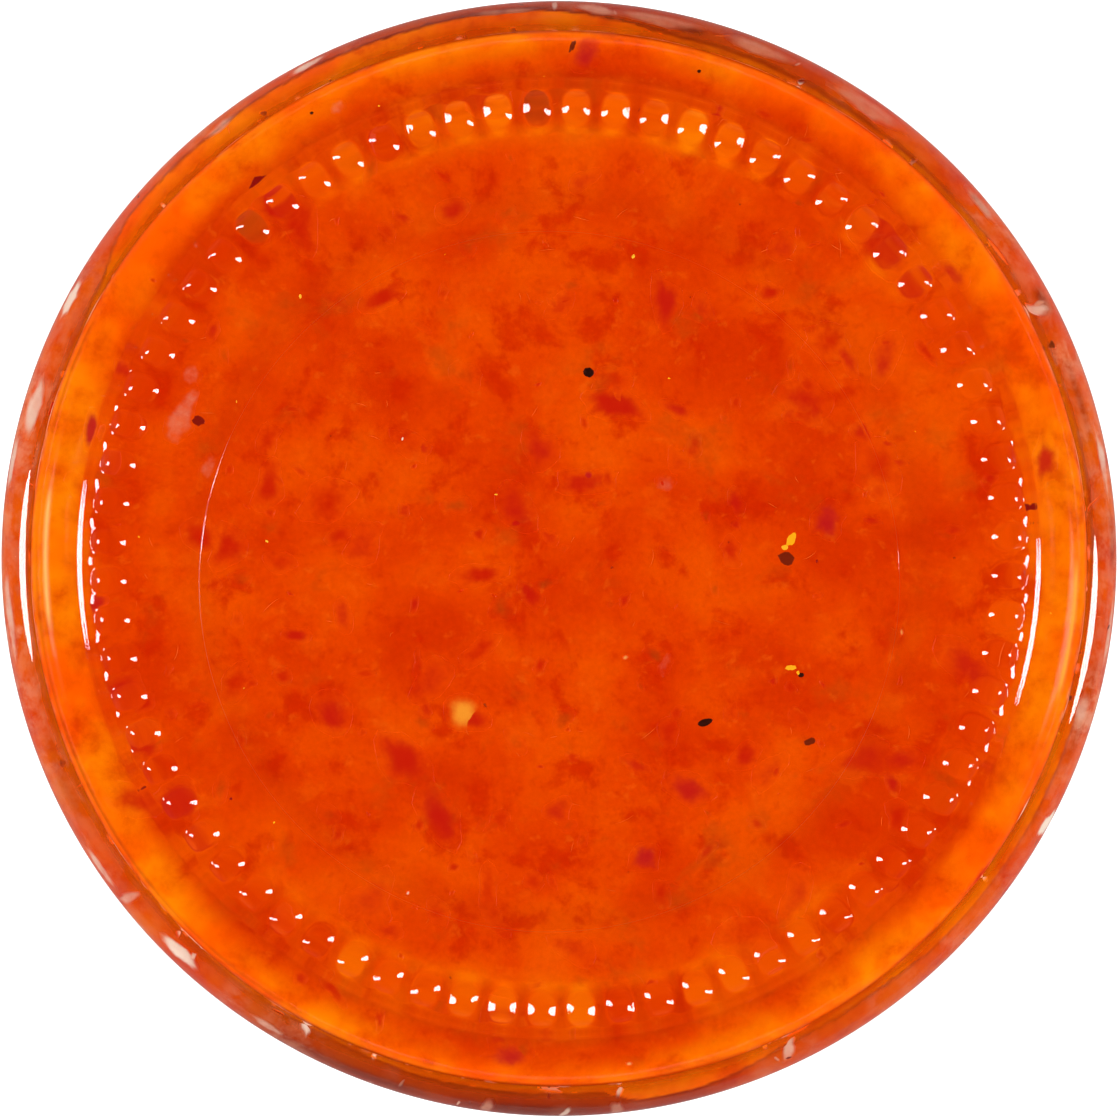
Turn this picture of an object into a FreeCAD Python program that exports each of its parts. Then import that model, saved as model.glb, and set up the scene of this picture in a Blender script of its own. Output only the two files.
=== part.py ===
"""A closed glass jar of chutney, turned over so that it stands on its lid with its base up.

Three pieces: a pressed glass jar with a ring of small bumps round its base, the chutney that fills it, and a
twist-off tinplate lid. Every outline below is drawn as (radius, height above the base) of the jar the right
way up, in millimetres, and spun about its axis. The finished pieces are then turned over together. The
origin is the middle of the lid's ring, where the jar stands.
"""

import FreeCAD, Part
import math
import os

# --- The jar's base, from its rim inwards ---
bearing_inset = 5.75      # from the widest part of the body in to the ring that the jar stands on
bearing_width = 3.35
slope_width = 4.9         # of the slope inside that ring, up to the seam circle
push_up_slope = 0.9       # how far the seam circle rises over the ring
slope_angle = 14.0        # steepest part of that slope, in degrees
push_up_dome = 1.2        # and how far the middle of the base rises over the seam circle

bump_count = 72
bump_inset = 1.25         # from the bearing ring's outer edge in to the middle of the bumps
bump_height = 0.35
bump_length_radius = 2.8  # curvature along the jar's radius
bump_width_radius = 1.7   # curvature round the ring
bump_phase = 2.2          # degrees
bump_root = 0.2           # how deep a bump's solid goes into the base

foot_radius = 0.85        # rounding outside the bearing ring
foot_turn = 27.0          # how steep that rounding gets, in degrees
foot_fillet = 0.85        # hollow between the foot and the ledge
ledge_turn = 6.0          # slope of the ledge round the foot, in degrees
heel_radius = 2.3         # corner between the ledge and the wall

# --- The jar's wall, inside and out ---
body_diameter = 75.0
glass_height = 99.0
wall = 2.5
base_glass = 3.6          # thickness at the middle of the base
inner_corner_radius = 1.8
inner_base_radius = 300.0 # the floor inside is a very flat dome

contact_band_top = 10.0   # the lower of the two widest bands ends here
panel_recess = 0.4        # the label panel between them lies this far in
panel_blend = 2.0         # height over which the wall moves in or out
shoulder_band = 3.0       # height of the upper widest band
shoulder_radius = 9.0
shoulder_turn = 70.0      # how far the shoulder turns in towards the neck, in degrees
neck_fillet = 2.0
neck_height = 8.4         # from the rim to the hollow at the neck's foot
neck_radius = 29.6
neck_wall = 2.6
rim_radius = 1.0

# --- The screw finish round the neck ---
thread_count = 4
thread_reach = 1.3        # how far a thread stands out
thread_bead_radius = 1.1
thread_drop = 6.6         # from the rim to the middle of a thread
thread_span = 60.0        # degrees round the neck
thread_lean = 2.5         # degrees

# --- The chutney ---
fill_gap = 3.4            # from the chutney's surface to the lid's panel

# --- The lid ---
sheet = 0.35
skirt_clearance = 0.5     # from the threads to the skirt
lid_depth = 9.8
lid_corner_radius = 1.3
lid_ring_width = 3.8      # the ring that presses on the rim
panel_step = 0.8          # how far the lid's panel lies below that ring
panel_step_run = 0.9      # and over what width
button_radius = 12.0
button_step = 0.3
button_step_run = 0.8
curl_radius = 0.8
curl_reach = 0.4          # how far the curl stands out from the skirt
lug_count = 4
lug_clearance = 0.3       # from a lug's tip to the neck
lug_thickness = 0.8
lug_span = 14.0           # degrees
lug_play = 0.1            # from a lug to the thread over it

AXIS = FreeCAD.Vector(0, 0, 1)
ORIGIN = FreeCAD.Vector(0, 0, 0)
FULL_TURN = 360.0

lid_top = glass_height + sheet
body_radius = body_diameter / 2
bearing_outer_radius = body_radius - bearing_inset
bearing_inner_radius = bearing_outer_radius - bearing_width
bump_circle_radius = bearing_outer_radius - bump_inset
seam_radius = bearing_inner_radius - slope_width


def at(radius, height):
    """A point of an outline, in the plane that is spun about the jar's axis."""
    return FreeCAD.Vector(radius, 0, height)


def on_circle(centre, radius, degrees):
    """The point of a circle at an angle, counted from straight out and towards the rim."""
    turn = math.radians(degrees)
    return centre + at(radius * math.cos(turn), radius * math.sin(turn))


def arc(centre, radius, start, end):
    """The arc of a circle between two angles, in degrees."""
    points = [on_circle(centre, radius, turn) for turn in (start, (start + end) / 2, end)]
    return Part.Arc(*points).toShape()


def line(start, end):
    return Part.LineSegment(start, end).toShape()


def ends(edge):
    """Both ends of an edge, in the order that it was drawn."""
    return edge.valueAt(edge.FirstParameter), edge.valueAt(edge.LastParameter)


def apart(one, other):
    return one.distanceToPoint(other) > 1e-6


def joined(edges):
    """The edges in order, with a straight run wherever one ends away from the next one's start."""
    chain = []
    for edge in edges:
        if chain and apart(ends(chain[-1])[1], ends(edge)[0]):
            chain.append(line(ends(chain[-1])[1], ends(edge)[0]))
        chain.append(edge)
    return chain


def polyline(*points):
    return [line(start, end) for start, end in zip(points, points[1:])]


def spun_between(outer, inner, degrees=FULL_TURN):
    """The solid between two outlines that run the same way, turned about the jar's axis."""
    outer, inner = joined(outer), joined(inner)
    edges = outer + inner
    for side, end in ((0, 0), (-1, 1)):
        start, stop = ends(outer[side])[end], ends(inner[side])[end]
        if apart(start, stop):
            edges.append(line(start, stop))
    face = Part.Face(Part.Wire(Part.__sortEdges__(edges)))
    return face.revolve(ORIGIN, AXIS, degrees)


def s_curve(start, end):
    """Two equal arcs that lead from one upright run to another one beside it."""
    across, up = end.x - start.x, end.z - start.z
    side = math.copysign(1, across)
    radius = (across ** 2 + up ** 2) / (4 * abs(across))
    turn = math.degrees(math.asin(up / 2 / radius))
    first, second = at(start.x + side * radius, start.z), at(end.x - side * radius, end.z)
    if side > 0:
        return [arc(first, radius, 180, 180 - turn), arc(second, radius, -turn, 0)]
    return [arc(first, radius, 0, turn), arc(second, radius, 180 + turn, 180)]


def push_up_outline():
    """The hollow in the underside: a dome, and the slope that eases down to the bearing ring."""
    bearing = bump_height
    dome_radius = (seam_radius ** 2 + push_up_dome ** 2) / (2 * push_up_dome)
    dome_centre = at(0, bearing + push_up_slope + push_up_dome - dome_radius)
    dome_turn = math.degrees(math.asin(seam_radius / dome_radius))
    dome = arc(dome_centre, dome_radius, 90, 90 - dome_turn)

    turn = math.radians(slope_angle)
    spare = (bearing_inner_radius - seam_radius) * math.tan(turn) - push_up_slope
    ease_radius = spare / (1 / math.cos(turn) - 1)
    ease = arc(at(bearing_inner_radius, bearing + ease_radius), ease_radius, 270 - slope_angle, 270)
    return [dome, ease]


def foot_outline():
    """From the bearing ring out to the wall: the foot's rounding, a hollow, the ledge and the heel."""
    foot_centre = at(bearing_outer_radius, bump_height + foot_radius)
    foot = arc(foot_centre, foot_radius, -90, foot_turn - 90)
    fillet_centre = on_circle(foot_centre, foot_radius + foot_fillet, foot_turn - 90)
    fillet = arc(fillet_centre, foot_fillet, foot_turn + 90, ledge_turn + 90)

    turn = math.radians(ledge_turn)
    ledge_start = ends(fillet)[1]
    heel_x = body_radius - heel_radius
    ledge_rise = (heel_x + heel_radius * math.sin(turn) - ledge_start.x) * math.tan(turn)
    heel_z = ledge_start.z + ledge_rise + heel_radius * math.cos(turn)
    heel = arc(at(heel_x, heel_z), heel_radius, ledge_turn - 90, 0)
    return [foot, fillet, heel]


def shoulder_outline(depth, neck):
    """The shoulder and the hollow at the foot of the neck, a given depth inside the glass."""
    bend, sweep = neck_fillet + depth, shoulder_radius - depth
    middle = body_radius - shoulder_radius
    steepest = math.degrees(math.acos((neck + bend - middle) / (sweep + bend)))
    angle = min(shoulder_turn, steepest)
    turn = math.radians(angle)
    straight = (middle + (sweep + bend) * math.cos(turn) - neck - bend) / math.sin(turn)

    hollow_centre = at(neck + bend, glass_height - neck_height)
    hollow = arc(hollow_centre, bend, angle + 180, 180)
    drop = (sweep + bend) * math.sin(turn) + straight * math.cos(turn)
    return [arc(at(middle, hollow_centre.z - drop), sweep, 0, angle), hollow]


def wall_outline():
    """The wall's outside: a widest band at each end and the label panel between them."""
    panel_radius = body_radius - panel_recess
    panel_top = ends(shoulder_outline(0, neck_radius)[0])[0].z - shoulder_band - panel_blend
    moves_in = s_curve(at(body_radius, contact_band_top), at(panel_radius, contact_band_top + panel_blend))
    moves_out = s_curve(at(panel_radius, panel_top), at(body_radius, panel_top + panel_blend))
    return moves_in + moves_out


def outside_outline():
    """The outside of the glass, from the middle of the base to the top of the rim."""
    rim = arc(at(neck_radius - rim_radius, glass_height - rim_radius), rim_radius, 0, 90)
    return push_up_outline() + foot_outline() + wall_outline() + shoulder_outline(0, neck_radius) + [rim]


def inside_outline():
    """The inside of the glass up to the neck's bore, from the middle of the floor."""
    bore = neck_radius - neck_wall
    floor = bump_height + push_up_slope + push_up_dome + base_glass
    centre = at(0, floor - inner_base_radius)
    reach = inner_base_radius + inner_corner_radius
    corner_x = body_radius - wall - inner_corner_radius
    corner_turn = math.degrees(math.acos(corner_x / reach))
    corner_centre = on_circle(centre, reach, corner_turn)
    corner = arc(corner_centre, inner_corner_radius, corner_turn - 180, 0)
    return [arc(centre, inner_base_radius, 90, corner_turn), corner] + shoulder_outline(wall, bore)


def bump():
    """One bump of the bearing ring: a cap cut from a barrel that lies across the ring."""
    offset = bump_length_radius - bump_width_radius
    half = math.sqrt(bump_width_radius ** 2 - offset ** 2)
    low, tip, high = (FreeCAD.Vector(0, y, z) for y, z in ((-half, 0), (0, -bump_length_radius), (half, 0)))
    profile = Part.Wire([Part.Arc(low, tip, high).toShape(), line(high, low)])
    barrel = Part.Face(profile).revolve(ORIGIN, FreeCAD.Vector(0, 1, 0), FULL_TURN)
    barrel.translate(at(bump_circle_radius, bump_length_radius))
    side = 2 * bump_length_radius
    slab = Part.makeBox(side, side, bump_height + bump_root, at(bump_circle_radius - side / 2, 0))
    slab.translate(FreeCAD.Vector(0, -side / 2, 0))
    return barrel.common(slab)


def thread():
    """One of the threads: a round bead that leans a little, with a round nose at each end."""
    ring_radius = neck_radius + thread_reach - thread_bead_radius
    bead = Part.makeTorus(ring_radius, thread_bead_radius, ORIGIN, AXIS, 0, FULL_TURN, thread_span)
    forwards = FreeCAD.Vector(0, 1, 0)
    near_nose = Part.makeSphere(thread_bead_radius, at(ring_radius, 0), -forwards, 0, 90, FULL_TURN)
    far_nose = Part.makeSphere(thread_bead_radius, at(ring_radius, 0), forwards, 0, 90, FULL_TURN)
    far_nose.rotate(ORIGIN, AXIS, thread_span)
    bead = grown(bead, [near_nose, far_nose])
    bead.rotate(ORIGIN, AXIS, -thread_span / 2)
    bead.rotate(ORIGIN, FreeCAD.Vector(1, 0, 0), thread_lean)
    bead.translate(at(0, glass_height - thread_drop))
    return bead


def grown(shape, extras):
    """The shape with more pieces melted on, after a test that each of them added to it."""
    whole = shape.fuse(extras)
    if not whole.isValid() or whole.Volume <= shape.Volume:
        raise ValueError("a piece was lost when it was joined to the rest")
    return whole


def round_ring(shape, count, phase=0.0):
    """Equal copies of a shape, spaced evenly round the jar's axis."""
    copies = []
    for index in range(count):
        copy = shape.copy()
        copy.rotate(ORIGIN, AXIS, phase + index * FULL_TURN / count)
        copies.append(copy)
    return copies


def glass_jar():
    blank = spun_between(outside_outline(), inside_outline() + rim_inside())
    bumps = round_ring(bump(), bump_count, bump_phase)
    threads = round_ring(thread(), thread_count)
    return grown(grown(blank, bumps), threads)


def rim_inside():
    bore = neck_radius - neck_wall
    return [arc(at(bore + rim_radius, glass_height - rim_radius), rim_radius, 180, 90)]


def chutney():
    """Everything inside the glass up to the fill level."""
    level = lid_top - panel_step - sheet - fill_gap
    edges = joined(inside_outline())
    shore = at(neck_radius - neck_wall, level)
    edges += polyline(ends(edges[-1])[1], shore, at(0, level), ends(edges[0])[0])
    return Part.Face(Part.Wire(edges)).revolve(ORIGIN, AXIS, FULL_TURN)


def lid():
    """The twist-off lid: pressed sheet with a sunken panel and button, an outer curl and lugs."""
    skirt_inside = neck_radius + thread_reach + skirt_clearance
    skirt_outside = skirt_inside + sheet
    curl_height = lid_top - lid_depth + curl_radius
    ring_inside = skirt_outside - lid_corner_radius - lid_ring_width
    surfaces = []
    for depth in (0, sheet):
        top, skirt, corner = lid_top - depth, skirt_outside - depth, lid_corner_radius - depth
        panel = top - panel_step
        steps = polyline(at(0, panel - button_step), at(button_radius, panel - button_step),
                         at(button_radius + button_step_run, panel), at(ring_inside - panel_step_run, panel),
                         at(ring_inside, top))
        edge = arc(at(skirt - corner, top - corner), corner, 90, 0)
        surfaces.append(joined(steps + [edge, line(at(skirt, top - corner), at(skirt, curl_height))]))
    shell = spun_between(*surfaces)
    curl = Part.makeTorus(skirt_outside + curl_reach - curl_radius, curl_radius, at(0, curl_height))

    lug_top = glass_height - thread_drop - thread_bead_radius - lug_play
    lug_top -= neck_radius * math.radians(lug_span / 2) * math.tan(math.radians(thread_lean))
    lug_bottom = lug_top - lug_thickness
    tip, root = neck_radius + lug_clearance, skirt_inside + sheet / 2
    corners = [at(tip, lug_top), at(root, lug_top), at(root, lug_bottom), at(tip, lug_bottom)]
    lug = Part.Face(Part.makePolygon(corners + corners[:1])).revolve(ORIGIN, AXIS, lug_span)
    lug.rotate(ORIGIN, AXIS, -lug_span / 2)
    return grown(grown(shell, [curl]), round_ring(lug, lug_count))


def stood_on_lid(shape):
    """The piece turned over with the rest of the jar, so that the lid's ring lies on the ground."""
    shape.rotate(ORIGIN, FreeCAD.Vector(1, 0, 0), 180)
    shape.translate(at(0, lid_top))
    return shape


os.makedirs("parts", exist_ok=True)
for name, make in (("glass_jar", glass_jar), ("chutney", chutney), ("lid", lid)):
    piece = stood_on_lid(make())
    if not piece.isValid() or len(piece.Solids) != 1:
        raise ValueError(f"{name} is not one sound solid: {piece.isValid()}, {len(piece.Solids)} solids")
    piece.Solids[0].exportStep(f"parts/{name}.step")
    box = piece.BoundBox
    print(name, f"{piece.Volume / 1000:.1f} cm3, z {box.ZMin:.2f} to {box.ZMax:.2f}, width {box.XLength:.2f}")
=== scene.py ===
"""A jar of chutney, shown from straight above its glass base: the jar stands upside down on its lid."""

import math

import bmesh
import bpy
import numpy as np
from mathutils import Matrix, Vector


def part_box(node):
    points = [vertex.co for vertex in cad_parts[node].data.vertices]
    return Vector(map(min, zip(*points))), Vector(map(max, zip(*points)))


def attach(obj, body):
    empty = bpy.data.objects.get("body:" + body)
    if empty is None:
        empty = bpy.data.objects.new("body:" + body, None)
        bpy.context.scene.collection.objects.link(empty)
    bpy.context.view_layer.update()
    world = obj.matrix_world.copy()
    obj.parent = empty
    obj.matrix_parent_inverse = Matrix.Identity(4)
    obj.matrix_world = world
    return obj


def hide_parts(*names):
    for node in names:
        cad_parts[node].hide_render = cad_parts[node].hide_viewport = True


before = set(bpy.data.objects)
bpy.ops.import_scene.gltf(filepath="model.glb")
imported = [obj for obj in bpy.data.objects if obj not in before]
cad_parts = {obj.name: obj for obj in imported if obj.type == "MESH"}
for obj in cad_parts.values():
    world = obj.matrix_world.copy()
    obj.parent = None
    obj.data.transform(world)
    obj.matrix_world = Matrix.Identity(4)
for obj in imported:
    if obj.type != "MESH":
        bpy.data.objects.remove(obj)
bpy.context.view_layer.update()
scene = bpy.context.scene
scene.view_settings.view_transform = "Standard"
mm = 0.001


# --- The glass jar ---------------------------------------------------------------------------------------
# A round food jar of clear soda-lime glass, pressed and blown in a two-part mould. The ring that it stands
# on carries 72 small bumps, which keep its hot base off the belt, and a fine ridge inside them is the mark
# of the mould's base plate.

base_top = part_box("glass_jar")[1].z
body_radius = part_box("glass_jar")[1].x / mm
glass_height = (base_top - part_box("glass_jar")[0].z) / mm

bearing_outer, bearing_inner, seam_circle = body_radius - 5.75, body_radius - 9.1, body_radius - 14.0
slope_rise, slope_angle, dome_rise = 0.9, math.radians(14.0), 1.2
foot_radius, foot_turn = 0.85, 27.0
foot_fillet, ledge_turn, heel_radius = 0.85, 6.0, 2.3
bump_count, bump_circle, bump_phase = 72, bearing_outer - 1.39, math.radians(-2.2)
bump_height, bump_inward, bump_outward, bump_half_width = 0.29, 1.4, 1.06, 0.93
band_height, band_circle, band_inward, band_outward, band_ripple = 0.16, bearing_outer - 1.35, 2.0, 1.0, 0.14
bearing = bump_height + band_height
panel_inset, panel_low, panel_high, panel_ease = 0.4, 10.0, 5.0, 2.0
wall, floor_level, floor_radius, inner_corner = 2.3, 5.7, 300.0, 1.4
shoulder_radius, shoulder_turn, neck_fillet = 9.0, 70.0, 2.0
neck_radius, neck_wall, neck_height, rim_radius = 29.6, 2.6, 8.4, 1.0


def arc(centre, radius, start, end, count):
    """Points of an arc as (distance from the axis, height over the base), in mm, between two angles."""
    turns = np.radians(np.linspace(start, end, count))
    return [(centre[0] + radius * math.cos(t), centre[1] + radius * math.sin(t)) for t in turns]


def rise(x, low, high):
    """0 below low, 1 above high, and a smooth rise between them."""
    t = np.clip((x - low) / (high - low), 0, 1)
    return t * t * (3 - 2 * t)


def base_height(r):
    """Height of the underside at a distance from the axis, without its bumps, up to the foot's hollow."""
    if r <= seam_circle:
        dome_radius = (seam_circle ** 2 + dome_rise ** 2) / (2 * dome_rise)
        return bearing + slope_rise + dome_rise - dome_radius + math.sqrt(dome_radius ** 2 - r ** 2)
    spare = (bearing_inner - seam_circle) * math.tan(slope_angle) - slope_rise
    ease = spare / (1 / math.cos(slope_angle) - 1)
    ease_start = bearing_inner - ease * math.sin(slope_angle)
    if r <= ease_start:
        return bearing + slope_rise - (r - seam_circle) * math.tan(slope_angle)
    if r <= bearing_inner:
        return bearing + ease - math.sqrt(ease ** 2 - (bearing_inner - r) ** 2)
    return bearing + foot_radius - math.sqrt(foot_radius ** 2 - max(0, r - bearing_outer) ** 2)


def bump_relief(r, turn):
    """How far the ring of bumps stands out of the underside at a distance and an angle round the axis."""
    pitch, out = 2 * math.pi / bump_count, r - bump_circle
    width = bump_half_width * (1 + 0.3 * min(1, max(0, -out / bump_inward)))
    across = ((turn - bump_phase + pitch / 2) % pitch - pitch / 2) * bump_circle / width
    along = (out / bump_outward) ** 3 if out > 0 else (out / bump_inward) ** 2
    softness = 0.05 - 0.035 * rise(out, -0.4, 0.4)
    cap = bump_height * softness * np.logaddexp(0, (1 - across ** 2 - along) / softness)
    step = r - band_circle + band_ripple * np.cos((turn - bump_phase) * bump_count)
    side = np.where(step > 0, np.abs(step / band_outward) ** 3, (step / band_inward) ** 2)
    return cap + band_height * 0.015 * np.logaddexp(0, (1 - side) / 0.015)


def outside_wall():
    """The outside of the glass from the foot's hollow to the rim, as (distance, height) in mm."""
    foot = arc((bearing_outer, bearing + foot_radius), foot_radius, -73, foot_turn - 90, 5)
    turn = math.radians(foot_turn - 90)
    reach = foot_radius + foot_fillet
    hollow_centre = (bearing_outer + reach * math.cos(turn), bearing + foot_radius + reach * math.sin(turn))
    hollow = arc(hollow_centre, foot_fillet, foot_turn + 90, ledge_turn + 90, 10)
    slope = math.radians(ledge_turn)
    heel_x = body_radius - heel_radius
    heel_z = hollow[-1][1] + (heel_x + heel_radius * math.sin(slope) - hollow[-1][0]) * math.tan(slope)
    heel = arc((heel_x, heel_z + heel_radius * math.cos(slope)), heel_radius, ledge_turn - 90, 0, 30)
    shoulder = shoulder_line(0, neck_radius, 14)
    panel, low, high = body_radius - panel_inset, panel_low, shoulder[0][1] - panel_high
    ease = [(panel_inset * rise(t, 0, 1), panel_ease * t) for t in np.linspace(0, 1, 9)]
    waist = [(body_radius - inset, low + h) for inset, h in ease]
    middle = [(panel, h) for h in np.linspace(low + 2 * panel_ease, high - panel_ease, 6)]
    flare = [(panel + inset, high + h) for inset, h in ease]
    rim = arc((neck_radius - rim_radius, glass_height - rim_radius), rim_radius, 0, 90, 7)
    return foot[1:] + hollow + heel + [(body_radius, panel_low - 3)] + waist + middle + flare + shoulder + rim


def shoulder_line(depth, neck, count):
    """The shoulder and the hollow at the neck's foot, a given depth inside the glass."""
    bend, sweep, turn = neck_fillet + depth, shoulder_radius - depth, math.radians(shoulder_turn)
    middle, hollow_z = body_radius - shoulder_radius, glass_height - neck_height
    straight = (middle + (sweep + bend) * math.cos(turn) - neck - bend) / math.sin(turn)
    drop = (sweep + bend) * math.sin(turn) + straight * math.cos(turn)
    shoulder = arc((middle, hollow_z - drop), sweep, 0, shoulder_turn, count)
    return shoulder + arc((neck + bend, hollow_z), bend, shoulder_turn + 180, 180, count // 2)


def inside_wall(reach, count):
    """The inside of the glass, or a line a little way into the glass, from the middle of the floor up."""
    floor_z, corner = floor_level + bearing - floor_radius, inner_corner + reach
    corner_x = body_radius - wall - inner_corner
    turn = math.degrees(math.acos(corner_x / (floor_radius + inner_corner)))
    corner_z = floor_z + (floor_radius + inner_corner) * math.sin(math.radians(turn))
    floor = arc((0, floor_z), floor_radius - reach, 90, turn, count)
    return floor + arc((corner_x, corner_z), corner, turn - 180, 0, count)[1:] + shoulder_line(
        wall - reach, neck_radius - neck_wall + reach, count)


def ring_of(points, sides, relief=None):
    """One ring of vertices for each (distance, height), as arrays of metres, with the base turned up."""
    turns = np.arange(sides) * 2 * math.pi / sides
    rings = []
    for r, h in points:
        drop = h * np.ones(sides) if relief is None else h - relief(r, turns)
        rings.append(np.column_stack([r * np.cos(turns) * mm, r * np.sin(turns) * mm, base_top - drop * mm]))
    return rings


def skin_rings(rings):
    """(vertices, faces) of a closed surface over rings that may differ in their number of vertices."""
    vertices, faces, starts = [], [], []
    for ring in rings:
        starts.append(len(vertices))
        vertices.extend(ring.tolist())
    for one in range(len(rings) - 1):
        a, b = len(rings[one]), len(rings[one + 1])
        sides, step_a, step_b = min(a, b), a // min(a, b), b // min(a, b)
        for k in range(sides):
            near = [starts[one] + (k * step_a + i) % a for i in range(step_a + 1)]
            far = [starts[one + 1] + (k * step_b + i) % b for i in range(step_b + 1)]
            faces.append(near + far[::-1])
    faces.append([starts[0] + i for i in range(len(rings[0]))][::-1])
    faces.append([starts[-1] + i for i in range(len(rings[-1]))])
    return vertices, faces


def solid(name, vertices, faces):
    """A smooth mesh object made of these vertices and faces, with its faces turned outwards."""
    mesh = bpy.data.meshes.new(name)
    mesh.from_pydata(vertices, [], faces)
    work = bmesh.new()
    work.from_mesh(mesh)
    bmesh.ops.recalc_face_normals(work, faces=work.faces)
    work.to_mesh(mesh)
    work.free()
    mesh.polygons.foreach_set("use_smooth", [True] * len(mesh.polygons))
    made = bpy.data.objects.new(name, mesh)
    scene.collection.objects.link(made)
    return made


def paint(hex_colour):
    """An sRGB colour such as "#E23D01" as the linear one that the shaders take."""
    parts = [int(hex_colour[i:i + 2], 16) / 255 for i in (1, 3, 5)]
    return [p / 12.92 if p <= 0.04045 else ((p + 0.055) / 1.055) ** 2.4 for p in parts] + [1.0]


def put(tree, kind, inputs=None, stops=None, **settings):
    """Adds a node with its settings; each input is a value or the socket that feeds it."""
    made = tree.nodes.new(kind)
    for key, value in settings.items():
        setattr(made, key, value)
    for key, value in (inputs or {}).items():
        if isinstance(value, bpy.types.NodeSocket):
            tree.links.new(value, made.inputs[key])
        else:
            made.inputs[key].default_value = value
    for index, (place, colour) in enumerate(stops or []):
        spot = made.color_ramp.elements[index] if index < 2 else made.color_ramp.elements.new(place)
        spot.position, spot.color = place, colour
    return made


def new_material(name):
    """An empty material, its tree and its output."""
    made = bpy.data.materials.new(name)
    made.use_nodes = True
    made.node_tree.nodes.clear()
    return made, made.node_tree, put(made.node_tree, "ShaderNodeOutputMaterial")


# The mould's base plate sat a little off the axis, so the rings of the underside shift with its ridge.
seam_centre, seam_height, seam_half_width = (-0.65, -1.54), 0.0115, 0.06
plate_rings = []
for reach in np.concatenate([[0.4, 1.2], np.linspace(2.5, seam_circle - 0.3, 12),
                             seam_circle + np.linspace(-1, 1, 9) * seam_half_width,
                             np.linspace(seam_circle + 0.3, bearing_inner - 0.15, 14)]):
    sides = 720 if abs(reach - seam_circle) < 0.2 else 360
    turns = np.arange(sides) * 2 * math.pi / sides
    off_centre = 1 - rise(reach, seam_circle + 0.2, bearing_inner - 0.3)
    x, y = (seam_centre[i] * off_centre + reach * wave(turns) for i, wave in enumerate((np.cos, np.sin)))
    ridge = seam_height * max(0, 1 - ((reach - seam_circle) / seam_half_width) ** 2)
    ridge = ridge * (0.6 + 0.4 * np.sin(9 * turns + 1) * np.sin(23 * turns))
    height = np.array([base_height(r) for r in np.hypot(x, y)]) - ridge
    plate_rings.append(np.column_stack([x * mm, y * mm, base_top - height * mm]))
band_rings = [(r, base_height(r)) for r in [*np.arange(bearing_inner, bearing_outer - 0.8, 0.15),
                                            *np.arange(bearing_outer - 0.75, bearing_outer + 0.2, 0.07)]]
outer_rings = plate_rings + ring_of(band_rings, 1440, bump_relief)
body_line, foot_points = outside_wall(), 50          # so many of its points go round the foot and the heel
outer_rings += ring_of(body_line[:foot_points], 360) + ring_of(body_line[foot_points:], 180)
inner_line = inside_wall(0, 14) + arc(
    (neck_radius - neck_wall + rim_radius, glass_height - rim_radius), rim_radius, 180, 90, 5)
inner_rings = ring_of(inner_line, 180)
vertices, faces = skin_rings(outer_rings + inner_rings[::-1])
glass = solid("pressed_glass_jar", vertices, faces)

# Soda-lime glass, pressed: clear, with an even fire polish, so that it shows sharp lights, and a very slight
# waviness from the mould that makes their edges wander.
glass_paint, tree, out = new_material("soda_lime_glass_pressed")
place = put(tree, "ShaderNodeTexCoord").outputs["Object"]
waves = put(tree, "ShaderNodeTexNoise", {"Vector": place, "Scale": 210.0, "Detail": 1.0, "Roughness": 0.4})
seam_way = put(tree, "ShaderNodeVectorMath", {0: place, 1: (seam_centre[0] * mm, seam_centre[1] * mm, 0)},
               operation="SUBTRACT")
flat_way = put(tree, "ShaderNodeVectorMath", {0: seam_way.outputs[0], 1: (1, 1, 0)}, operation="MULTIPLY")
seam_far = put(tree, "ShaderNodeVectorMath", {0: flat_way.outputs[0]}, operation="LENGTH")
seam_off = put(tree, "ShaderNodeMath", {0: seam_far.outputs["Value"], 1: seam_circle * mm},
               operation="SUBTRACT")
seam_side = put(tree, "ShaderNodeMath", {0: seam_off.outputs[0]}, operation="ABSOLUTE")
seam_dull = put(tree, "ShaderNodeMapRange", {"Value": seam_side.outputs[0], "From Min": 0.0,
                                             "From Max": seam_half_width * mm, "To Min": 0.3, "To Max": 0.0})
wavy = put(tree, "ShaderNodeBump", {"Height": waves.outputs["Fac"], "Strength": 0.2, "Distance": 0.04 * mm})
clear = put(tree, "ShaderNodeBsdfPrincipled", {
    "Base Color": paint("#FCFEFD"), "Roughness": seam_dull.outputs[0], "IOR": 1.52,
    "Transmission Weight": 1.0, "Normal": wavy.outputs[0]})
path = put(tree, "ShaderNodeLightPath")
through = put(tree, "ShaderNodeMath", {0: path.outputs["Is Shadow Ray"], 1: path.outputs["Is Diffuse Ray"]},
              operation="MAXIMUM")
open_way = put(tree, "ShaderNodeBsdfTransparent", {"Color": paint("#F7FBF9")})
mixed = put(tree, "ShaderNodeMixShader", {0: through.outputs[0], 1: clear.outputs[0], 2: open_way.outputs[0]})
tree.links.new(mixed.outputs[0], out.inputs["Surface"])
glass.data.materials.append(glass_paint)
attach(glass, "root")
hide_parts("glass_jar")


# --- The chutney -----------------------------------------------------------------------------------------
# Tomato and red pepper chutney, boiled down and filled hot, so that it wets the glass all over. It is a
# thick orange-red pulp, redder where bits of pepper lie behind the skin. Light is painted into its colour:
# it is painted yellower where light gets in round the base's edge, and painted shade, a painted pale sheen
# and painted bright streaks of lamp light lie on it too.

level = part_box("chutney")[0].z
skin_reach = 0.15                                    # how far the skin goes into the glass
skin_line = np.array(inside_wall(skin_reach, 40))
skin_way = np.concatenate([[0], np.cumsum(np.hypot(*np.diff(skin_line, axis=0).T))])
corner_way = body_radius - wall - inner_corner       # the way along the skin from the middle to the corner
wall_way = corner_way + 2.4                          # and to the start of the upright wall


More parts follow.
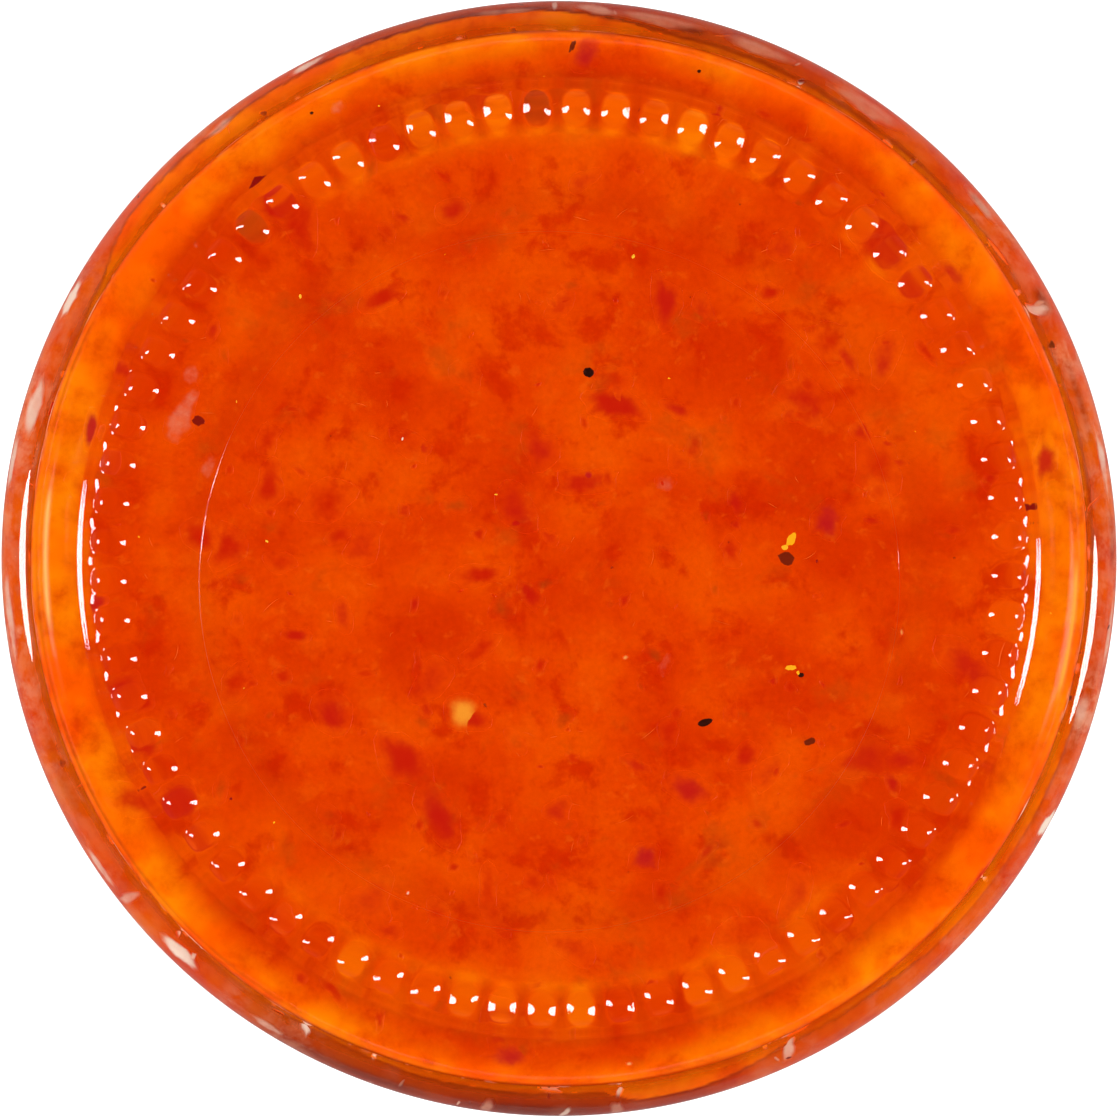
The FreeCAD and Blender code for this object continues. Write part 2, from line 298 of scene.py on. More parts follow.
def on_skin(way, turn, lift=0.0):
    """Points, in metres, by their way along the skin from the base's middle, their angle and their lift."""
    (r, h), before, after = ([np.interp(w, skin_way, skin_line[:, i]) for i in (0, 1)]
                             for w in (way, way - 0.05, way + 0.05))
    dr, dh = after[0] - before[0], after[1] - before[1]
    steep = np.hypot(dr, dh)
    r, h = r + lift * dh / steep, h - lift * dr / steep
    return np.column_stack([r * np.cos(turn) * mm, r * np.sin(turn) * mm, base_top - h * mm])


def wander(turn, seed, slow=2, fast=40):
    """A smooth, uneven number from about -1 to 1 that changes round the axis, the same on every run."""
    dice = np.random.default_rng(seed)
    counts = np.unique(np.geomspace(slow, fast, 9).astype(int))
    waves = sum(np.sin(n * turn + dice.uniform(0, 6.28)) * dice.uniform(0.4, 1.0) for n in counts)
    return waves / len(counts) * 1.6


def bell(x, middle, width):
    """1 at the middle, and a smooth fall to 0 on both sides of it."""
    return np.exp(-((x - middle) / width) ** 2)


def plateau(x, start, full, fade, end):
    """1 from full to fade, 0 outside start and end, and smooth between."""
    return rise(x, start, full) - rise(x, fade, end)


def dark_line_reach(turn):
    """How far out the painted dark line of shade on the wall shows, in mm from the axis."""
    degrees = np.degrees(turn) % 360
    edge = 35.9 - 0.12 * (1 - plateau(degrees, 50, 75, 346, 359))
    for out, start, full, fade, end in ((0.7, 76, 94, 141, 149), (-0.42, 147, 156, 236, 258),
                                        (0.6, 274, 279, 284, 296), (0.2, 306, 316, 342, 354)):
        edge += out * plateau(degrees, start, full, fade, end)
    return edge


def base_light(way, turn, front):
    """The painted light gathered in the skin behind the base, and the painted shade there."""
    sideways = 1 - front
    painted_light = 0.2 * bell(way, 27.3, 0.6) * sideways * (0.6 + 0.6 * wander(turn, 1))
    painted_light += 0.35 * bell(way, 28.9, 0.6) * front ** 1.5
    painted_light += 0.14 * bell(way, 31.6, 0.9)
    # Each bump is a small lens: painted light of its own amount fills its middle, and painted shade dims its
    # sides.
    pitch = 2 * math.pi / bump_count
    number = np.round((turn - bump_phase) / pitch).astype(int) % bump_count
    across = ((turn - bump_phase + pitch / 2) % pitch - pitch / 2) * bump_circle
    on_bump = 1 - rise(np.abs(way - bump_circle + 0.1), 1.1, 1.6)
    own = np.random.default_rng(5).uniform(0.2, 1.0, bump_count)[number]
    bright_part = 1 - rise(np.abs(turn - 1.15), 0.5, 0.9) + 1 - rise(np.abs(turn + 1.6), 0.4, 0.8)
    own = own * (0.5 + 0.5 * bright_part)
    painted_light += on_bump * bell(across, 0, 0.6) * own * 1.2 * front ** 1.2
    shade = on_bump * bell(np.abs(across), 1.3, 0.4) * 0.14 * front
    # Outside the bumps a ring of painted light, gathered there, which starts nearer to them at the left and
    # right.
    start = 31.3 + 1.6 * front + 0.25 * wander(turn, 2)
    painted_light += (0.95 - 0.1 * front) * rise(way, start, start + 1.6 + 1.0 * front)
    # Painted shade: a soft ring inside the seam, and a ring just past the bumps at the front and back.
    shade += 0.1 * bell(way, 24.6, 1.0)
    shade += 0.22 * bell(way, 32.3, 0.6) * front
    return painted_light, shade


def light_and_marks(way, turn):
    """For points of the skin: its painted light, painted shade, painted pale sheen and painted bright streaks,
    from 0 to 1.

    The rounded edge of the base bends the view, so marks on the wall go by how far out they show."""
    sideways = np.cos(turn) ** 2                     # 1 at the left and right, where the light comes from
    front, degrees = 1 - sideways, np.degrees(turn) % 360
    painted_light, shade = base_light(way, turn, front)

    # The wall: painted light inside the dark line, and outside it duller pulp with painted shade and a painted
    # pale sheen; even pulp high up.
    on_wall, up = rise(way, wall_way - 0.7, wall_way - 0.1), way - wall_way
    shown = np.interp(up, (-1, -0.2, 0.3, 0.85, 1.3, 1.7, 2.15, 2.95, 3.8, 5.5),
                      (37.36, 37.23, 37.09, 36.83, 36.56, 36.29, 36.02, 35.75, 35.58, 34.8))
    edge = dark_line_reach(turn) + 0.05 * wander(turn, 4, 3, 60) + 0.05 * wander(turn, 10, 60, 260)
    inside, high = 1 - rise(shown, edge - 0.08, edge + 0.02), rise(up, 8, 14)
    # Painted light outside the line: more at the left and right, where the lamps are.
    rim = 0.24 + 0.18 * sideways + 0.2 * wander(turn, 3)
    painted_light = painted_light * (1 - on_wall) + on_wall * ((0.9 * inside + rim * (1 - inside)) * (1 - high) + 0.45 * high)
    # Painted shade outside the line: most at the bottom, some at the top, and more at the front and back.
    painted_rim_shade = 0.4 * plateau(degrees, 230, 242, 282, 292) + 0.2 * plateau(degrees, 52, 70, 110, 120)
    shade += on_wall * (1 - inside) * (1 - high) * np.minimum(painted_rim_shade + 0.25 * front + 0.1, 0.7)
    # A painted pale sheen, the lamps' reflection on the wall: strongest at the left and right and in patches,
    # outside the line only.
    painted_sheen = on_wall * (0.1 * sideways ** 2 + (0.1 + 0.15 * sideways) * np.clip(wander(turn, 9, 5, 80), 0, 1))
    painted_sheen = painted_sheen * (1 - inside) * (1 - rise(way, wall_way + 4, wall_way + 9))

    # A painted dark line of shade along the wall, and where it runs low, a second one on the base's corner.
    thick = 0.07 + 0.17 * np.clip(wander(turn, 6, 4, 150), 0, 1)
    dark_part = np.clip(0.55 + 0.7 * wander(turn + 0.4, 7, 1, 14) + 0.3 * np.sin(turn + 0.5), 0.15, 1)
    shade += 0.9 * on_wall * dark_part * bell(shown, edge, thick)
    low_edge = 1 - rise(edge, 35.5, 35.7)
    shade += 0.7 * low_edge * dark_part * bell(way, corner_way + 1.42, 0.06 + 0.5 * thick)

    # Dark patches on the wall: the middle and half width in degrees, how far out, half height and depth.
    ragged = on_wall * (0.8 + 0.4 * wander(turn, 8, 20, 90))
    for middle, half, out, tall, most in (
            (40, 1.5, 36.75, 0.15, 0.8), (28, 1.5, 36.5, 0.35, 0.8), (17, 4.5, 36.3, 0.22, 0.6),
            (96, 6, 36.75, 0.12, 0.6), (76, 1.5, 36.3, 0.2, 0.8), (344, 6, 36.45, 0.28, 0.5),
            (267, 8, 36.8, 0.4, 0.4), (248, 8, 36.8, 0.35, 0.35), (204, 5, 36.2, 0.3, 0.4),
            (2, 3, 36.9, 0.2, 0.5)):
        near = ((degrees - middle + 180) % 360 - 180) / half
        shade += most * ragged * np.exp(-near ** 4) * bell(shown, out, tall)

    # A short painted bright streak of the lamps' light at the left and at the right, where the base's edge
    # gathers it.
    painted_streaks = 0
    for middle, out in ((180, 34.5), (352, 34.75)):
        near = np.abs((degrees - middle + 180) % 360 - 180)
        painted_streaks += bell(way, out, 0.15) * (1 - rise(near, 5.5, 8.5))
    return np.clip(np.column_stack([painted_light, shade, painted_sheen, painted_streaks]), 0, 1)


# The skin's rings, closest at the base's edge, where the marks are finest: first way, last way, step, sides.
pulp_rings, pulp_ways, pulp_turns = [], [], []
stretches = ((0.4, 28.3, 0.7, 360), (28.5, 33.9, 0.22, 720), (34.0, wall_way - 0.9, 0.16, 1440),
             (wall_way - 0.7, wall_way + 2.7, 0.17, 1440), (wall_way + 2.8, wall_way + 9, 0.5, 720),
             (wall_way + 10, wall_way + 66, 4, 360), (wall_way + 67, skin_way[-1], 0.9, 360))
ring_ways = [(way, sides) for first, last, step, sides in stretches for way in np.arange(first, last, step)]
for way, sides in ring_ways:
    turns = np.arange(sides) * 2 * math.pi / sides
    ring = on_skin(np.full(sides, way), turns)
    if ring[0, 2] < level:
        ring[:, 2] = level
    pulp_rings.append(ring)
    pulp_ways.append(np.full(sides, way))
    pulp_turns.append(turns)
    if ring[0, 2] == level:
        break
chutney = solid("chutney_pulp", *skin_rings(pulp_rings))
marks = chutney.data.color_attributes.new("light_and_marks", "FLOAT_COLOR", "POINT")
mark_values = light_and_marks(np.concatenate(pulp_ways), np.concatenate(pulp_turns))
marks.data.foreach_set("color", mark_values.ravel())


def pulp_colour(tree):
    """Adds the pulp's colour to a material, so that the bits in its skin can share it; gives its socket.

    The colour holds the painted light, painted shade, painted pale sheen and painted bright streaks.
    """
    place = put(tree, "ShaderNodeTexCoord").outputs["Object"]
    swirl = put(tree, "ShaderNodeTexNoise", {"Vector": place, "Scale": 130.0, "Detail": 2.0})
    shift = put(tree, "ShaderNodeVectorMath", {0: swirl.outputs["Color"], 1: (2.6 * mm,) * 3},
                operation="MULTIPLY")
    stirred = put(tree, "ShaderNodeVectorMath", {0: place, 1: shift.outputs[0]}, operation="ADD").outputs[0]
    clouds, blots, flecks, herbs, grain = (
        put(tree, "ShaderNodeTexNoise", {"Vector": spot, "Scale": scale, "Detail": detail, "Roughness": rough})
        for spot, scale, detail, rough in (
            (stirred, 150.0, 3.0, 0.5), (stirred, 330.0, 5.0, 0.62), (stirred, 900.0, 3.0, 0.6),
            (stirred, 240.0, 4.0, 0.6), (place, 2300.0, 2.0, 0.7)))
    colour = put(tree, "ShaderNodeValToRGB", {"Fac": clouds.outputs["Fac"]}, stops=[
        (0.34, paint("#D62F00")), (0.66, paint("#EA4A00")), (0.5, paint("#E23C00"))]).outputs[0]
    for pattern, low, high, most, hue in (
            (blots, 0.50, 0.68, 0.75, "#CC1E00"), (blots, 0.44, 0.30, 0.4, "#EE5404"),
            (herbs, 0.56, 0.74, 0.5, "#BE4208"), (flecks, 0.58, 0.76, 0.3, "#C41A02"),
            (flecks, 0.40, 0.26, 0.3, "#F06010")):
        much = put(tree, "ShaderNodeMapRange", {
            "Value": pattern.outputs["Fac"], "From Min": low, "From Max": high, "To Min": 0.0,
            "To Max": most}, interpolation_type="SMOOTHSTEP")
        colour = put(tree, "ShaderNodeMix", {0: much.outputs[0], 6: colour, 7: paint(hue)},
                     data_type="RGBA").outputs[2]
    fine = put(tree, "ShaderNodeValToRGB", {"Fac": grain.outputs["Fac"]}, stops=[
        (0.3, (0.95, 0.91, 0.86, 1)), (0.7, (1.04, 1.08, 1.14, 1))])
    colour = put(tree, "ShaderNodeMix", {0: 1.0, 6: colour, 7: fine.outputs[0]}, data_type="RGBA",
                 blend_type="MULTIPLY").outputs[2]
    # The painted light, shade, sheen and streaks that each point of the skin holds.
    held_light = put(tree, "ShaderNodeVertexColor", layer_name="light_and_marks")
    marked = put(tree, "ShaderNodeSeparateColor", {0: held_light.outputs["Color"]})
    patchy = put(tree, "ShaderNodeMapRange", {
        "Value": blots.outputs["Fac"], "From Min": 0.38, "From Max": 0.66, "To Min": 1.12, "To Max": 0.35})
    lit = put(tree, "ShaderNodeMath", {0: marked.outputs[0], 1: patchy.outputs[0]}, operation="MULTIPLY",
              use_clamp=True)
    # Painted light: the hues that the gathered light gives the pulp.
    glow = put(tree, "ShaderNodeValToRGB", {"Fac": clouds.outputs["Fac"]}, stops=[
        (0.38, paint("#FF5800")), (0.6, paint("#FF7A02"))])
    streaky = put(tree, "ShaderNodeMapRange", {
        "Value": flecks.outputs["Fac"], "From Min": 0.4, "From Max": 0.62, "To Min": 0.0, "To Max": 2.0})
    sheen_amount = put(tree, "ShaderNodeMath", {0: marked.outputs[2], 1: streaky.outputs[0]}, operation="MULTIPLY",
               use_clamp=True)
    # Over the pulp's own colour: painted light, painted shade, a painted pale sheen and painted bright
    # streaks.
    for much, hue in ((lit.outputs[0], glow.outputs[0]), (marked.outputs[1], paint("#7A1C04")),
                      (sheen_amount.outputs[0], paint("#F6AC88")), (held_light.outputs["Alpha"], paint("#FFA63C"))):
        colour = put(tree, "ShaderNodeMix", {0: much, 6: colour, 7: hue}, data_type="RGBA").outputs[2]
    return colour


# Boiled pulp, wet against the glass: deep and even, with soft patches and hardly a light of its own.
pulp_paint, tree, out = new_material("tomato_pepper_pulp_boiled")
wet_skin = put(tree, "ShaderNodeBsdfPrincipled", {"Base Color": pulp_colour(tree), "Roughness": 0.12,
                                                  "Specular IOR Level": 0.04})
tree.links.new(wet_skin.outputs[0], out.inputs["Surface"])
chutney.data.materials.append(pulp_paint)
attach(chutney, "root")
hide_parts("chutney")


# --- The flakes of red pepper ----------------------------------------------------------------------------
# Skin-on flakes of red pepper, chopped to 5 mm and less and boiled soft. They lie just behind the pulp's
# skin, so that most have blurred edges.

def by_hand(x, y, length, width, spin, tint=0.3, cover=0.8):
    """A bit seen through the base at x and y in mm: (way, turn, length, width, spin, tint, cover)."""
    turn = math.atan2(y, x)
    return math.hypot(x, y), turn, length, width, math.radians(spin) - turn, tint, cover


def strewn(dice, count, low, high, sizes, tints=(0.0, 0.35), covers=(0.4, 0.9), slim=(0.4, 0.9)):
    """Bits strewn evenly over the skin between two ways along it, with their sizes in a range of mm."""
    bits = []
    for _ in range(count):
        way = math.sqrt(dice.uniform(low ** 2, high ** 2)) if high < wall_way else dice.uniform(low, high)
        size = sizes[0] * (sizes[1] / sizes[0]) ** dice.uniform(0, 1) ** 1.5
        bits.append((way, dice.uniform(0, 6.283), size, size * dice.uniform(*slim), dice.uniform(0, 6.283),
                     dice.uniform(*tints), dice.uniform(*covers)))
    return bits


def beside(way, turn, up, across):
    """The ways along the skin and the angles of points at offsets up along it and across it from a spot."""
    if way < corner_way:
        return np.hypot(way + up, across), turn + np.arctan2(across, way + up)
    return way + up, turn + across / (body_radius - wall)


def bits_in_skin(name, bits, lift, depth, ragged, feather, seed, sides=14):
    """One mesh of separate closed bits in the skin; the cover of each fades over its outer part."""
    dice = np.random.default_rng(seed)
    vertices, faces, cover, ways, turns = [], [], [], [], []
    angles = np.arange(sides) * 2 * math.pi / sides
    top, under = (0.2, 0.42, 0.6, 0.76, 0.9, 1.0), (0.75, 0.35)
    for way, turn, length, width, spin, tint, most in bits:
        outline = 1 + sum(dice.normal(0, ragged / k) * np.cos(k * angles + dice.uniform(0, 6.28))
                          for k in (2, 3, 4, 5, 7))
        rings = []
        for part, share in [(1, t) for t in top] + [(-1, u) for u in under]:
            x, y = length / 2 * share * outline * np.cos(angles), width / 2 * share * outline * np.sin(angles)
            up, across = x * math.cos(spin) - y * math.sin(spin), x * math.sin(spin) + y * math.cos(spin)
            height = (lift if part == 1 else depth) * (1 - share ** 2) * part - 0.004
            own_ways, own_turns = beside(way, turn, up, across)
            rings.append(on_skin(own_ways, own_turns, height))
            ways.append(own_ways)
            turns.append(own_turns)
            cover += [(most * rise(1 - share, 0, feather) if part == 1 else 0, tint, 0, 1)] * sides
        shape, sheets = skin_rings(rings)
        faces += [[i + len(vertices) for i in sheet] for sheet in sheets]
        vertices += shape
    made = solid(name, vertices, faces)
    layer = made.data.color_attributes.new("cover", "FLOAT_COLOR", "POINT")
    layer.data.foreach_set("color", np.array(cover, float).ravel())
    # The bits carry the same painted light and shade as the skin round them.
    layer = made.data.color_attributes.new("light_and_marks", "FLOAT_COLOR", "POINT")
    layer.data.foreach_set("color", light_and_marks(np.concatenate(ways), np.concatenate(turns)).ravel())
    return made


def bit_paint(name, hue, other_hue, soft, most=1.0, roughness=0.3):
    """A material for bits: their own two hues, which fade into the pulp's colour where it covers them.

    The pulp's colour there carries its painted light and shade.
    """
    made, tree, out = new_material(name)
    held = put(tree, "ShaderNodeSeparateColor", {0: put(
        tree, "ShaderNodeVertexColor", layer_name="cover").outputs["Color"]})
    place = put(tree, "ShaderNodeTexCoord").outputs["Object"]
    uneven = put(tree, "ShaderNodeTexNoise", {"Vector": place, "Scale": 700.0, "Detail": 4.0,
                                              "Roughness": 0.65})
    lifted = put(tree, "ShaderNodeMath", {0: uneven.outputs["Fac"], 1: 1.0, 2: -0.55},
                 operation="MULTIPLY_ADD")
    edge = put(tree, "ShaderNodeMath", {0: held.outputs[0], 1: lifted.outputs[0]}, operation="ADD")
    much = put(tree, "ShaderNodeMapRange", {"Value": edge.outputs[0], "From Min": 0.0, "From Max": soft,
                                            "To Min": 0.0, "To Max": most}, interpolation_type="SMOOTHSTEP")
    tinted = put(tree, "ShaderNodeMix", {0: held.outputs[1], 6: paint(hue), 7: paint(other_hue)},
                 data_type="RGBA")
    colour = put(tree, "ShaderNodeMix", {0: much.outputs[0], 6: pulp_colour(tree), 7: tinted.outputs[2]},
                 data_type="RGBA")
    body = put(tree, "ShaderNodeBsdfPrincipled", {"Base Color": colour.outputs[2], "Roughness": roughness,
                                                  "Specular IOR Level": 0.04})
    tree.links.new(body.outputs[0], out.inputs["Surface"])
    return made


base_edge, wall_end = 33.2, skin_way[-1] - 14
dice = np.random.default_rng(11)
peppers = [
    by_hand(3.8, 10.4, 5.2, 2.3, -12, 0.2, 1.0), by_hand(7.2, 17.4, 4.2, 2.3, 100, 0.3, 0.9),
    by_hand(-12.0, 17.7, 3.6, 2.0, 25, 0.1, 0.9), by_hand(-7.3, 23.7, 2.8, 2.0, 0, 0.2, 0.8),
    by_hand(1.8, 34.0, 3.4, 2.6, 80, 0.9, 0.8), by_hand(18.2, 2.6, 3.0, 2.6, 60, 0.9, 0.75),
    by_hand(5.8, -20.3, 2.6, 2.2, 30, 0.9, 0.85), by_hand(8.8, -15.6, 4.0, 2.4, -15, 0.6, 0.85),
    by_hand(-10.6, -13.6, 5.2, 3.2, -50, 0.2, 0.95), by_hand(-8.2, -17.4, 4.8, 3.2, -65, 0.3, 0.85),
    by_hand(-17.8, -5.2, 1.8, 1.5, 0, 0.2, 0.9), by_hand(-15.7, 3.9, 4.6, 3.0, 20, 0.0, 0.6),
    by_hand(32.6, 6.6, 3.6, 2.2, 80, 0.4, 0.8), by_hand(21.6, 21.7, 3.0, 1.9, -20, 0.8, 0.4),
    by_hand(1.8, 5.2, 4.8, 2.0, 5, 0.2, 0.75), by_hand(2.0, 5.6, 1.1, 0.9, 0, 0.9, 0.9),
    by_hand(-5.4, -1.1, 4.4, 1.8, 10, 0.1, 0.75), by_hand(-1.9, -2.5, 2.6, 1.5, -40, 0.2, 0.8),
    by_hand(28.7, -21.6, 3.0, 1.8, 40, 0.5, 0.7), by_hand(-2.9, 2.4, 0.9, 0.6, 0, 0.3, 0.9),
    by_hand(-25.6, -16.2, 3.6, 2.4, -60, 0.3, 0.7), by_hand(-27.8, -12.6, 3.0, 1.8, -60, 0.2, 0.7),
    by_hand(26.4, 19.0, 2.8, 1.9, -40, 0.5, 0.7), by_hand(-22.5, 0.8, 3.6, 2.8, 80, 0.1, 0.7),
    by_hand(-5.0, 30.6, 4.0, 2.0, 15, 0.2, 0.5), by_hand(-3.4, -33.4, 3.8, 2.2, 0, 0.9, 0.7),
    by_hand(14.2, 18.0, 2.4, 1.5, 30, 0.1, 0.7), by_hand(19.6, 13.6, 2.6, 1.7, -60, 0.3, 0.7),
    by_hand(-31.3, 8.6, 3.0, 1.4, 82, 1.0, 1.0), by_hand(-24.5, 1.6, 3.0, 2.6, -20, 0.1, 0.8),
    by_hand(-31.0, -3.0, 2.2, 1.2, 80, 0.7, 0.7), by_hand(-19.2, 23.6, 2.8, 1.6, 50, 0.2, 0.8),
    by_hand(21.9, 21.2, 6.4, 3.4, -46, 0.2, 0.55), by_hand(23.8, 18.4, 2.6, 1.8, -45, 0.2, 0.7),
    by_hand(-22.0, -8.5, 3.4, 2.2, 60, 0.0, 0.6), by_hand(12.6, -13.4, 2.8, 1.8, 40, 0.2, 0.6)]
peppers += strewn(dice, 120, 0, base_edge, (1.2, 4.6), covers=(0.35, 0.7))
peppers += strewn(dice, 60, 0, base_edge, (0.5, 1.4), covers=(0.3, 0.6))
peppers += strewn(dice, 330, wall_way + 6, wall_end, (0.8, 4.5))
pepper = bits_in_skin("red_pepper_flakes", peppers, lift=0.05, depth=0.5, ragged=0.3, feather=0.85, seed=12)
# Boiled soft: a deep red that melts into the pulp.
pepper.data.materials.append(bit_paint("red_pepper_boiled_soft", "#C81600", "#B8121A", soft=0.85, most=0.9))
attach(pepper, "root")


# --- The dark chips --------------------------------------------------------------------------------------
# Dark red and brown chips of dried pepper skin and of spice, stirred in whole. They are hard and thin, so
# that their edges are sharp.

dice = np.random.default_rng(21)
chips = [
    by_hand(-20.2, 25.2, 1.5, 0.8, 30, 0.1, 1.0), by_hand(31.4, 3.4, 0.8, 0.6, 30, 0.2, 0.9),
    by_hand(15.4, 0.0, 1.2, 1.0, -20, 0.7, 0.9), by_hand(0.9, 34.4, 1.2, 0.35, 70, 0.8, 0.8),
    by_hand(-24.6, 9.4, 0.9, 0.8, 0, 0.3, 0.8), by_hand(17.0, -12.4, 0.9, 0.6, 20, 0.8, 0.7)]
chips += strewn(dice, 16, 0, base_edge, (0.15, 0.4), (0, 1), (0.3, 0.6))
chips += strewn(dice, 26, wall_way + 0.3, wall_way + 6.5, (0.3, 1.1), (0.5, 1), (0.4, 0.8), (0.25, 0.6))
chips += strewn(dice, 200, wall_way + 6, wall_end, (0.3, 1.4), (0, 1))
chip = bits_in_skin("dark_spice_chips", chips, lift=0.045, depth=0.12, ragged=0.22, feather=0.25, seed=22,
                    sides=12)
# Dried and hard: almost black in the pulp, with a red or a brown cast.
chip.data.materials.append(bit_paint("pepper_skin_and_spice_dried", "#8E0D0A", "#6B2408", soft=0.6))
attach(chip, "root")


# --- The herbs -------------------------------------------------------------------------------------------
# Shreds of herb leaf and burst mustard hulls, boiled brown. They lie a little behind the skin, so that
# only a soft brown shadow of each shows.

leaves = [
    by_hand(-1.5, 30.45, 2.4, 1.6, 88, 0.9, 0.7), by_hand(-20.6, 22.4, 2.6, 1.6, -45, 0.6, 0.6),
    by_hand(-0.9, -1.7, 1.6, 1.1, 20, 0.4, 0.6), by_hand(0.3, -10.9, 2.2, 1.3, 60, 0.4, 0.6),
    by_hand(6.5, -6.5, 2.0, 1.2, -30, 0.4, 0.6), by_hand(-6.9, 3.6, 2.2, 1.4, 10, 0.2, 0.55),
    by_hand(-3.6, 23.4, 1.8, 1.2, 40, 0.2, 0.5), by_hand(0.8, 18.5, 1.6, 0.9, 20, 0.3, 0.5)]
dice = np.random.default_rng(81)
leaves += strewn(dice, 60, 0, base_edge, (0.8, 2.6), (0, 0.6), (0.25, 0.5))
leaves += strewn(dice, 120, wall_way + 5, wall_end, (0.8, 3.0), (0, 1), (0.4, 0.9))
leaf = bits_in_skin("herb_shreds", leaves, lift=0.04, depth=0.15, ragged=0.3, feather=0.85, seed=82)
# Boiled brown: a thin shadow in the pulp's own colour.
leaf.data.materials.append(bit_paint("herb_leaf_boiled_brown", "#9A3E08", "#74200E", soft=1.1, most=0.75))
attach(leaf, "root")


# --- The black seeds -------------------------------------------------------------------------------------
# Black mustard and onion seeds, about 1 mm whole, with a few broken bits of them. They are hard and matt,
# with a sharp outline.

seeds = [by_hand(2.0, 12.6, 0.85, 0.7, -30, 0, 1), by_hand(9.9, -11.1, 1.1, 0.55, 18, 0.2, 1),
         by_hand(16.4, -7.9, 0.42, 0.34, 0, 0.2, 1), by_hand(-16.6, 29.9, 0.3, 0.2, 0, 0.5, 1),
         by_hand(9.4, 32.7, 0.3, 0.25, 0, 0.5, 1)]
seeds += strewn(np.random.default_rng(31), 60, wall_way + 5, wall_end, (0.5, 1.2), slim=(0.6, 0.9))
seed_mesh = bits_in_skin("black_seeds", seeds, lift=0.06, depth=0.5, ragged=0.1, feather=0.3, seed=32)
# A dry hull: black, brown where it is thin, and duller than the pulp.
seed_mesh.data.materials.append(bit_paint("mustard_seed_hull_black", "#260A05", "#4A1A08", soft=0.4,
                                          roughness=0.5))
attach(seed_mesh, "root")


# --- The pale seeds --------------------------------------------------------------------------------------
# Pepper and tomato seeds, flat, cream to yellow, which came in with the fruit. One lies a little way behind
# the skin and so glows softly.

pips = [by_hand(-6.5, -10.4, 3.0, 2.9, 0, 0.0, 1.3), by_hand(-10.6, 8.1, 0.42, 0.26, 70, 1.0, 1.0),
        by_hand(-10.3, -22.8, 0.45, 0.3, 60, 1.0, 0.9), by_hand(30.9, 1.4, 0.8, 0.3, 10, 0.6, 0.7),
        by_hand(23.3, -5.0, 0.7, 0.4, 100, 0.1, 0.9), by_hand(4.5, -6.7, 0.5, 0.4, 30, 0.1, 0.9),
        by_hand(4.7, -33.9, 0.6, 0.4, 0, 0.2, 0.9)]
pips += strewn(np.random.default_rng(41), 90, wall_way + 7, wall_end, (0.8, 2.6), (0.0, 0.8), (0.5, 0.9),
               (0.6, 0.9))
pip = bits_in_skin("pale_seeds", pips, lift=0.06, depth=0.35, ragged=0.1, feather=1.0, seed=42)
# Boiled soft and stained: a warm, blurred glow.
pip.data.materials.append(bit_paint("pepper_seed_boiled", "#F59028", "#FBDCC0", soft=1.1))
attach(pip, "root")


# --- The yellow crumbs -----------------------------------------------------------------------------------
# Crumbs of yellow pepper and of ginger, chopped fine. They stay firm, bright against the pulp and crisp at
# their edges.

crumbs = [by_hand(15.75, 1.3, 1.1, 0.6, 60, 0.1, 1), by_hand(15.3, 0.75, 0.5, 0.4, 0, 0.3, 1),
          by_hand(15.7, -7.4, 0.7, 0.45, 10, 0.2, 1), by_hand(16.2, -7.75, 0.3, 0.25, 0, 0.2, 1)]
crumbs += strewn(np.random.default_rng(51), 14, 0, base_edge, (0.12, 0.35), (0, 1), (0.6, 1.0))
crumbs += strewn(np.random.default_rng(52), 70, wall_way + 5, wall_end, (0.3, 1.3), (0, 1), (0.6, 1.0))
crumb = bits_in_skin("yellow_crumbs", crumbs, lift=0.05, depth=0.2, ragged=0.25, feather=0.35, seed=53)
# Firm flesh, cut: clear yellow right up to its edge.
crumb.data.materials.append(bit_paint("yellow_pepper_flesh", "#FFA60A", "#FFC23C", soft=0.45))
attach(crumb, "root")


# --- The onion -------------------------------------------------------------------------------------------
# Shreds of onion boiled until glassy, pinkish white. Most cling to the upright wall, where they press against
# the glass; a few show faintly through the base.

shreds = [by_hand(-25.6, 9.6, 4.2, 1.9, 68, 0.1, 0.42), by_hand(-24.9, 12.4, 2.2, 1.2, 60, 0.1, 0.3),
          by_hand(-14.8, 30.3, 1.3, 1.0, 40, 0.1, 0.22), by_hand(7.2, 5.2, 1.8, 1.3, 0, 0.1, 0.14),
          by_hand(7.2, -7.2, 1.6, 1.2, 60, 0.1, 0.16), by_hand(-24.0, 6.2, 2.2, 1.2, 75, 0.1, 0.2)]
